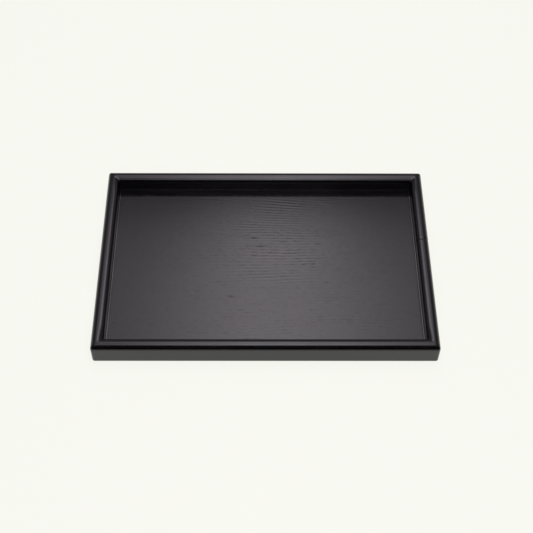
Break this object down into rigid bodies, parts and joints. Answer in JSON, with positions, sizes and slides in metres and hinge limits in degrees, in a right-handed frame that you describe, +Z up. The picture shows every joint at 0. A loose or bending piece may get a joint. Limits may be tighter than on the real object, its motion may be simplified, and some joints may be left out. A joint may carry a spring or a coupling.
{
  "type": "tea tray",
  "caption": "Rectangular lacquered wooden tea tray: mitred rails with fully rounded tops round a recessed flat panel.",
  "frame": {"origin": "middle of the underside, on the plane of the rails' feet", "axes": "+X along the long side, to the right as seen from the front; +Y to the rear; +Z up, out of the open side"},
  "size_m": [0.3, 0.2, 0.022],
  "materials": {
    "black_lacquer": "gloss black lacquer over solid wood, smooth, with the grain filled",
    "black_veneer": "satin black lacquer over open-pored veneer, grain along the long side",
    "ply_wood": "raw plywood core",
    "key_wood": "raw hardwood, planed",
    "brad_steel": "bright drawn wire"
  },
  "bodies": {
    "root": {"front_rail": "black_lacquer", "right_rail": "black_lacquer", "rear_rail": "black_lacquer", "left_rail": "black_lacquer", "panel_face_veneer": "black_veneer", "panel_core_ply": "ply_wood", "panel_back_veneer": "black_veneer", "corner_key_front_left": "key_wood", "corner_key_front_right": "key_wood", "corner_key_rear_right": "key_wood", "corner_key_rear_left": "key_wood", "brad_front_left_lower": "brad_steel", "brad_front_left_upper": "brad_steel", "brad_front_right_lower": "brad_steel", "brad_front_right_upper": "brad_steel", "brad_rear_right_lower": "brad_steel", "brad_rear_right_upper": "brad_steel", "brad_rear_left_lower": "brad_steel", "brad_rear_left_upper": "brad_steel"}
  },
  "joints": []
}
